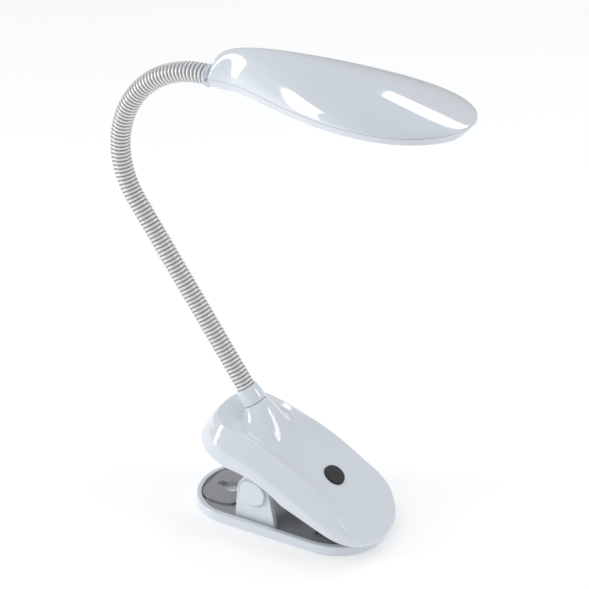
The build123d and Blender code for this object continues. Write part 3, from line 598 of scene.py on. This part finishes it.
def side_rows(outline, inward):
    """Rows from the lower edge up the side, over the wall line and up the slope to the crease."""
    low, line, crease = side_lines(outline, inward)
    into = np.column_stack((inward, np.zeros(len(inward))))
    wall_length = lengths(line - low)
    wall = (line - low) / wall_length
    length = lengths(crease - line)
    slope = (crease - line) / length
    wall_room = np.minimum(WALL_LINE_ROUND, np.minimum(wall_length, length) / 3)
    crease_room = np.minimum(CREASE_ROUND, length / 3)
    edge_end = low + EDGE_ROUND * wall
    wall_end = line - wall_room * wall
    slope_start = line + wall_room * slope
    slope_end = crease - crease_room * slope
    rows = rounded(low, low + EDGE_ROUND * into, edge_end, EDGE_ROWS)
    rows += straight(edge_end, wall_end, EDGE_ROWS)
    rows += rounded(line, wall_end, slope_start, ROUND_ROWS)
    outward = facing_out(slope, into)
    for share in np.linspace(0, 1, SLOPE_ROWS)[1:-1]:
        bulge = FACET_BULGE * np.minimum(1, length / CREASE_STEP) * sin(pi * share) ** 2
        rows.append(between(slope_start, slope_end, share) + bulge * outward)
    panel = crease[:, :2] + crease_room * inward
    panel = np.column_stack((panel, top_height(*panel.T)))
    rows += rounded(crease, slope_end, panel, ROUND_ROWS)
    return rows


def root_loop(turn):
    """Where the boss meets the top, in plan."""
    reach = np.where(np.cos(turn) > 0, ROOT_FRONT, ROOT_REAR)
    return np.stack((ROOT_X + reach * np.cos(turn), ROOT_SIDE * np.sin(turn)), 1)


def boss_rows(turn, count):
    """Rows from the top surface up the boss to the collar's seat."""
    axis = np.array((BOSS_AXIS[0], 0, BOSS_AXIS[1]))
    across = np.array((BOSS_AXIS[1], 0, -BOSS_AXIS[0]))
    out = np.cos(turn)[:, None] * across + np.sin(turn)[:, None] * np.array((0, 1, 0))
    middle = np.array((SEAT_X, 0, SEAT_Z))
    seat = middle - SEAT_GAP * axis + SEAT_RADIUS * out
    front = (0.5 + 0.5 * np.cos(turn))[:, None] ** 2
    root = root_loop(turn)
    heading = seat[:, :2] - root
    heading /= np.linalg.norm(heading, axis=1)[:, None]
    near = root + ROOT_NUDGE * heading
    rise = (top_height(*near.T) - top_height(*root.T)) / ROOT_NUDGE
    start = np.column_stack((root, top_height(*root.T)))
    reach = np.linalg.norm(seat - start, axis=1)[:, None]
    knee = start + between(*ROOT_PULL, front) * reach * np.column_stack((heading, rise))
    bend = seat - SEAT_PULL * reach * (axis - SEAT_SPREAD * out)
    rows = []
    for share in np.linspace(0, 1, count + 1)[1:]:
        back = 1 - share
        curve = back**3 * start + 3 * back**2 * share * knee
        rows.append(curve + 3 * back * share**2 * bend + share**3 * seat)
    rows.append(seat + (SEAT_INNER - SEAT_RADIUS) * out)
    return rows


def housing_skin():
    """The handle housing: side, top, and the boss that the gooseneck stands on."""
    outline, inward = plan_outline(OUTLINE_POINTS)
    rows = side_rows(outline, inward)
    edge = rows[-1][:, :2]
    turn = np.arctan2(edge[:, 1] / ROOT_SIDE, (edge[:, 0] - ROOT_X) / ROOT_FRONT)
    root = root_loop(turn)
    for share in np.linspace(0, 1, PANEL_ROWS + 1)[1:]:
        place = between(edge, root, share)
        rows.append(np.column_stack((place, top_height(*place.T))))
    rows += boss_rows(turn, BOSS_ROWS)
    skin = grid_piece("housing_skin", np.array(rows), HOUSING_PLACE)
    thicken(skin, HOUSING_WALL)
    cut(skin, button_cutter())
    cut(skin, box_cutter("inlet_cutter", INLET_PLACE, INLET_SIZE, HOUSING_PLACE))
    smooth(skin)
    return skin


def prism(name, loop, low, high, place):
    """A closed prism over a loop of points, from one height to another."""
    sides = len(loop)
    points = np.array([(x, y, z) for z in (low, high) for x, y in loop])
    faces = grid_faces(2, sides, True)
    faces.append(tuple(range(sides))[::-1])
    faces.append(tuple(range(sides, 2 * sides)))
    return mesh_piece(name, points, faces, place)


def ring_cutter(name, radius, length, place):
    """A many-sided rod along z, to cut a round hole."""
    turns = np.linspace(0, 2 * pi, CUTTER_SIDES, endpoint=False)
    loop = [(radius * cos(turn), radius * sin(turn)) for turn in turns]
    return prism(name, loop, -length / 2, length / 2, place)


def box_cutter(name, middle, size, place):
    x, y, z = middle
    length, depth, height = (side / 2 for side in size)
    corners = ((-1, -1), (1, -1), (1, 1), (-1, 1))
    loop = [(x + length * across, y + depth * along) for across, along in corners]
    return prism(name, loop, z - height, z + height, place)


def button_cutter():
    slope = TOP_DROP * TOP_POWER * (BUTTON_X - TOP_X) ** (TOP_POWER - 1)
    top = Vector((BUTTON_X, 0, float(middle_top(np.array(BUTTON_X)))))
    place = HOUSING_PLACE @ Matrix.Translation(top) @ Matrix.Rotation(atan2(slope, 1), 4, "Y")
    return ring_cutter("button_cutter", BUTTON_HOLE, BUTTON_CUT_DEPTH, place)


# ---------------------------------------------------------------- gooseneck


def neck_length():
    return NECK_STRAIGHT + NECK_BEND_RADIUS * radians(NECK_BEND)


def neck_axis(travel):
    """A point on the gooseneck's axis at a distance along it, and its heading from +Z towards +X."""
    lean = radians(NECK_LEAN)
    if travel <= NECK_STRAIGHT:
        x = NECK_FOOT[0] - travel * sin(lean)
        return Vector((x, 0, NECK_FOOT[1] + travel * cos(lean))), -lean
    heading = (travel - NECK_STRAIGHT) / NECK_BEND_RADIUS - lean
    top_x = NECK_FOOT[0] - NECK_STRAIGHT * sin(lean)
    top_z = NECK_FOOT[1] + NECK_STRAIGHT * cos(lean)
    centre_x = top_x + NECK_BEND_RADIUS * cos(lean)
    centre_z = top_z + NECK_BEND_RADIUS * sin(lean)
    x = centre_x - NECK_BEND_RADIUS * cos(heading)
    return Vector((x, 0, centre_z + NECK_BEND_RADIUS * sin(heading))), heading


def neck_joints():
    """Distances along the gooseneck to the joints between its segments."""
    straight = NECK_STRAIGHT / STRAIGHT_SEGMENTS
    bent = NECK_BEND_RADIUS * radians(NECK_BEND) / BENT_SEGMENTS
    joints = [straight * number for number in range(1, STRAIGHT_SEGMENTS + 1)]
    return joints + [NECK_STRAIGHT + bent * number for number in range(1, BENT_SEGMENTS)]


def rib_radius(share):
    """The hose's radius at a share of one rib's pitch, lowest in the groove at 0 and 1."""
    beside = min(share, 1 - share)
    return NECK_RADIUS - GROOVE_DEPTH * (1 - float(ease(GROOVE_FLAT, GROOVE_HALF, beside)))


def neck_rows(start, end, pitch):
    """Distances and radii of the hose's rings from start to end, both in a groove."""
    ribs = round((end - start) / pitch)
    travel = [start + pitch * (rib + share) for rib in range(ribs) for share in RIB_SHARES]
    radius = [rib_radius(share) for rib in range(ribs) for share in RIB_SHARES]
    return travel + [end], radius + [rib_radius(0.0)]


def neck_ring(travel, radius):
    point, heading = neck_axis(travel)
    outward = Vector((cos(heading), 0, -sin(heading)))
    turns = [2 * pi * side / HOSE_SIDES for side in range(HOSE_SIDES)]
    return [point + radius * (outward * cos(turn) + Vector((0, 1, 0)) * sin(turn)) for turn in turns]


def neck_piece(name, start, end, pitch):
    """A ribbed length of hose with its bore, closed at both ends in a groove."""
    travel, radius = neck_rows(start, end, pitch)
    inner = travel[:: len(RIB_SHARES)]
    rings = [neck_ring(step, size) for step, size in zip(travel, radius)]
    rings += [neck_ring(step, NECK_BORE) for step in reversed(inner)]
    grid = np.array([[tuple(p) for p in ring] for ring in rings])
    faces = grid_faces(len(rings), HOSE_SIDES, True)
    last = (len(rings) - 1) * HOSE_SIDES
    for side in range(HOSE_SIDES):
        after = (side + 1) % HOSE_SIDES
        faces.append((last + side, last + after, after, side))
    piece = mesh_piece(name, grid.reshape(-1, 3), faces)
    # Groove share for the hose material's painted shade: 0 on the ribs' crests, 1 in the grooves and
    # the bore.
    shade = piece.data.attributes.new("groove", "FLOAT", "POINT")
    groove_shade = [(NECK_RADIUS - size) / GROOVE_DEPTH for size in radius] + [1.0] * len(inner)
    shade.data.foreach_set("value", np.repeat(np.array(groove_shade, np.float32), HOSE_SIDES))
    return piece


def gooseneck(material):
    """The hose in seven lengths, each reaching across one joint."""
    ribs = round(neck_length() / RIB_PITCH)
    pitch = neck_length() / ribs
    joints = neck_joints()
    middles = [(low + high) / 2 for low, high in zip(joints, joints[1:])]
    cuts = [0.0] + [round(middle / pitch) * pitch for middle in middles] + [neck_length()]
    for number, joint in enumerate(joints):
        piece = neck_piece(f"hose_{number + 1}", cuts[number], cuts[number + 1], pitch)
        smooth(piece, HOSE_EDGE_ANGLE)
        piece.data.materials.append(material)
        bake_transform(piece)
        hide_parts(f"neck_coil_{number + 1}")
    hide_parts(f"neck_coil_{len(joints) + 1}")


# ---------------------------------------------------------------- head


def leaf(share, widest, tip_power):
    """A curve that is 0 at both ends of its length, and 1 where it is widest."""
    root_power = tip_power * widest / (1 - widest)
    return (share / widest) ** root_power * ((1 - share) / (1 - widest)) ** tip_power


def head_size(share, size, widest, tip_power):
    """Half width or dome height at a share of the length, run smoothly into the round neck end."""
    neck = HEAD_NECK_RADIUS * sqrt(1 - share)
    full = size * leaf(share, widest, tip_power)
    return (full**HEAD_MERGE_POWER + neck**HEAD_MERGE_POWER) ** (1 / HEAD_MERGE_POWER)


def head_half_width(share):
    return head_size(share, HEAD_HALF_WIDTH, HEAD_WIDE_AT, HEAD_TIP_POWER)


def head_dome(share):
    return head_size(share, HEAD_DOME, HEAD_HIGH_AT, HEAD_FALL_POWER)


def neck_end_ring(turns, above):
    """Half of the ring where the hose meets the head, in the head's frame."""
    point, heading = neck_axis(neck_length())
    local = HEAD_PLACE.inverted()
    outward = Vector((-cos(heading), 0, sin(heading)))
    side = 1 if above else -1
    ring = []
    for turn in turns:
        across = Vector((0, 1, 0)) * cos(turn) - outward * sin(turn) * side
        ring.append(tuple(local @ (point + HEAD_NECK_RADIUS * across)))
    return np.array(ring)


def head_shares(count):
    turns = np.linspace(0, pi, count)
    return (1 - np.cos(turns[1:-1])) / 2


def head_rows(turns, section, above):
    """Rings from the neck end to the tip, each half a section."""
    first = neck_end_ring(turns, above)
    steps = np.linspace(0, NECK_BLEND, NECK_ROWS)
    rows = [first + (section(0.0) - first) * share for share in steps]
    rows += [section(share) for share in head_shares(HEAD_ROWS)]
    tip = np.zeros((len(turns), 3))
    tip[:] = (HEAD_LENGTH, 0, HEAD_RIM)
    rows.append(tip)
    return np.array(rows)


def dome_section(turns):
    def section(share):
        y = head_half_width(share) * np.cos(turns)
        z = HEAD_RIM + HEAD_SEAM / 2 + head_dome(share) * np.sin(turns)
        return np.stack((np.full(len(turns), share * HEAD_LENGTH), y, z), 1)

    return section


def under_section(turns):
    """The rim and the flat underside, round where they run into the neck."""

    def section(share):
        flat = float(ease(0.0, FLAT_FROM, share))
        power = 2 + FLAT_POWER * flat**2
        depth = HEAD_RIM + (HEAD_NECK_RADIUS - HEAD_RIM) * (1 - flat)
        depth *= min(1.0, sqrt(1 - share) * TIP_TAPER)
        curve = np.abs(np.sin(turns)) ** (2 / power)
        across = np.sign(np.cos(turns)) * np.abs(np.cos(turns)) ** (2 / power)
        y = head_half_width(share) * across
        z = HEAD_RIM - HEAD_SEAM / 2 - depth * curve
        return np.stack((np.full(len(turns), share * HEAD_LENGTH), y, z), 1)

    return section


def window_cutter():
    """The opening for the diffuser, in the flat underside of the head."""
    first = acos(1 - 2 * WINDOW_START)
    near = [leaf_point(turn, WINDOW_INSET) for turn in np.linspace(first, pi, WINDOW_STEPS)]
    near[-1] = (HEAD_LENGTH - WINDOW_INSET, 0.0)
    far = [(x, -y) for x, y in near[-2::-1]]
    return prism("window_cutter", (near + far)[::-1], -HEAD_WALL, 2 * HEAD_WALL, HEAD_PLACE)


def leaf_point(turn, inset):
    """A point of the head's plan, moved inwards; the turn runs from 0 at the neck to pi at the tip."""
    places = []
    for angle in (turn - LEAF_NUDGE, turn):
        share = (1 - cos(angle)) / 2
        places.append((share * HEAD_LENGTH, head_half_width(share)))
    (x0, y0), (x1, y1) = places
    size = sqrt((x1 - x0) ** 2 + (y1 - y0) ** 2)
    return x1 + inset * (y1 - y0) / size, y1 - inset * (x1 - x0) / size


def head_skins():
    turns = np.linspace(0, pi, DOME_COLUMNS)
    rows = head_rows(turns, dome_section(turns), True)
    dome = grid_piece("head_dome", rows, HEAD_PLACE, ring=False)
    turns = np.linspace(0, pi, UNDER_COLUMNS)
    rows = head_rows(turns, under_section(turns), False)
    under = grid_piece("head_under", rows, HEAD_PLACE, ring=False, flip=True)
    for piece in (dome, under):
        weld(piece)
        thicken(piece, HEAD_WALL)
    cut(under, window_cutter())
    for piece in (dome, under):
        smooth(piece)
    return dome, under


def weld(piece):
    """Merges points that lie in one place."""
    form = bmesh.new()
    form.from_mesh(piece.data)
    bmesh.ops.remove_doubles(form, verts=form.verts, dist=WELD_REACH * METRE)
    form.to_mesh(piece.data)
    form.free()


# ---------------------------------------------------------------- scene


def add_camera():
    azimuth = radians(CAMERA_AZIMUTH)
    elevation = radians(CAMERA_ELEVATION)
    away = Vector((sin(azimuth) * cos(elevation), -cos(azimuth) * cos(elevation), sin(elevation)))
    camera = bpy.data.cameras.new("camera")
    camera.lens = CAMERA_LENS
    viewer = bpy.data.objects.new("camera", camera)
    viewer.location = Vector(CAMERA_TARGET) + CAMERA_DISTANCE * away
    viewer.rotation_euler = away.to_track_quat("Z", "Y").to_euler()
    bpy.context.scene.collection.objects.link(viewer)
    bpy.context.scene.camera = viewer


def add_softbox(name, azimuth, elevation, target, size, power):
    """An area light that faces the target, seen from it at this azimuth and elevation."""
    turn = radians(azimuth)
    rise = radians(elevation)
    away = Vector((sin(turn) * cos(rise), -cos(turn) * cos(rise), sin(rise)))
    light = bpy.data.lights.new(name, "AREA")
    light.shape = "RECTANGLE"
    light.size, light.size_y = size
    light.energy = power
    box = bpy.data.objects.new(name, light)
    box.location = Vector(target) + LIGHT_DISTANCE * away
    box.rotation_euler = away.to_track_quat("Z", "Y").to_euler()
    bpy.context.scene.collection.objects.link(box)


def add_floor():
    """A wide pale floor that the lamp stands on."""
    signs = ((-1, -1), (1, -1), (1, 1), (-1, 1))
    corners = [(FLOOR_HALF * across, FLOOR_HALF * along, 0) for across, along in signs]
    floor = mesh_piece("floor", corners, [(0, 1, 2, 3)])
    material, shader = new_material("floor_white")
    tree = material.node_tree
    drift = noise(tree, FLOOR_DRIFT_SCALE)
    colour = tint(tree, drift, (0.9, 0.9, 0.9), (0.92, 0.92, 0.92))
    tree.links.new(colour, shader.inputs["Base Color"])
    shader.inputs["Roughness"].default_value = 0.9
    shader.inputs["Emission Color"].default_value = (1, 1, 1, 1)
    shader.inputs["Emission Strength"].default_value = FLOOR_GLOW
    floor.data.materials.append(material)


def add_sky():
    """A studio that is bright overhead and dimmer and warmer low down."""
    world = bpy.data.worlds.new("studio")
    world.use_nodes = True
    tree = world.node_tree
    place = tree.nodes.new("ShaderNodeTexCoord")
    parts = tree.nodes.new("ShaderNodeSeparateXYZ")
    rise = tree.nodes.new("ShaderNodeMapRange")
    rise.inputs["From Min"].default_value = SKY_RISE[0]
    rise.inputs["From Max"].default_value = SKY_RISE[1]
    tree.links.new(place.outputs["Generated"], parts.inputs["Vector"])
    tree.links.new(parts.outputs["Z"], rise.inputs["Value"])
    background = tree.nodes["Background"]
    colour = tint(tree, rise.outputs["Result"], SKY_LOW, SKY_HIGH)
    tree.links.new(colour, background.inputs["Color"])
    background.inputs["Strength"].default_value = SKY_STRENGTH
    bpy.context.scene.world = world


add_camera()
bpy.context.scene.view_settings.view_transform = "Standard"
add_sky()
add_floor()
add_softbox("left_window", -58.0, 6.0, HEAD_MIDDLE, size=(0.24, 0.85), power=3.4)
add_softbox("rear_window", -178.0, 41.0, HEAD_MIDDLE, size=(0.34, 0.15), power=0.75)
add_softbox("right_lamp", 108.0, 32.0, HOUSING_MIDDLE, size=(0.28, 0.28), power=1.1)

materials = {name: make() for name, make in MATERIALS.items()}
paint_frame(materials)

housing = housing_skin()
finish_piece(housing, materials["white_gloss"], "housing")
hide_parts("housing_shell")

gooseneck(materials["hose_metal"])

dome, under = head_skins()
finish_piece(dome, materials["white_gloss"], "head")
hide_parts("head_shell")
finish_piece(under, materials["white_gloss"], "head")
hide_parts("head_base")
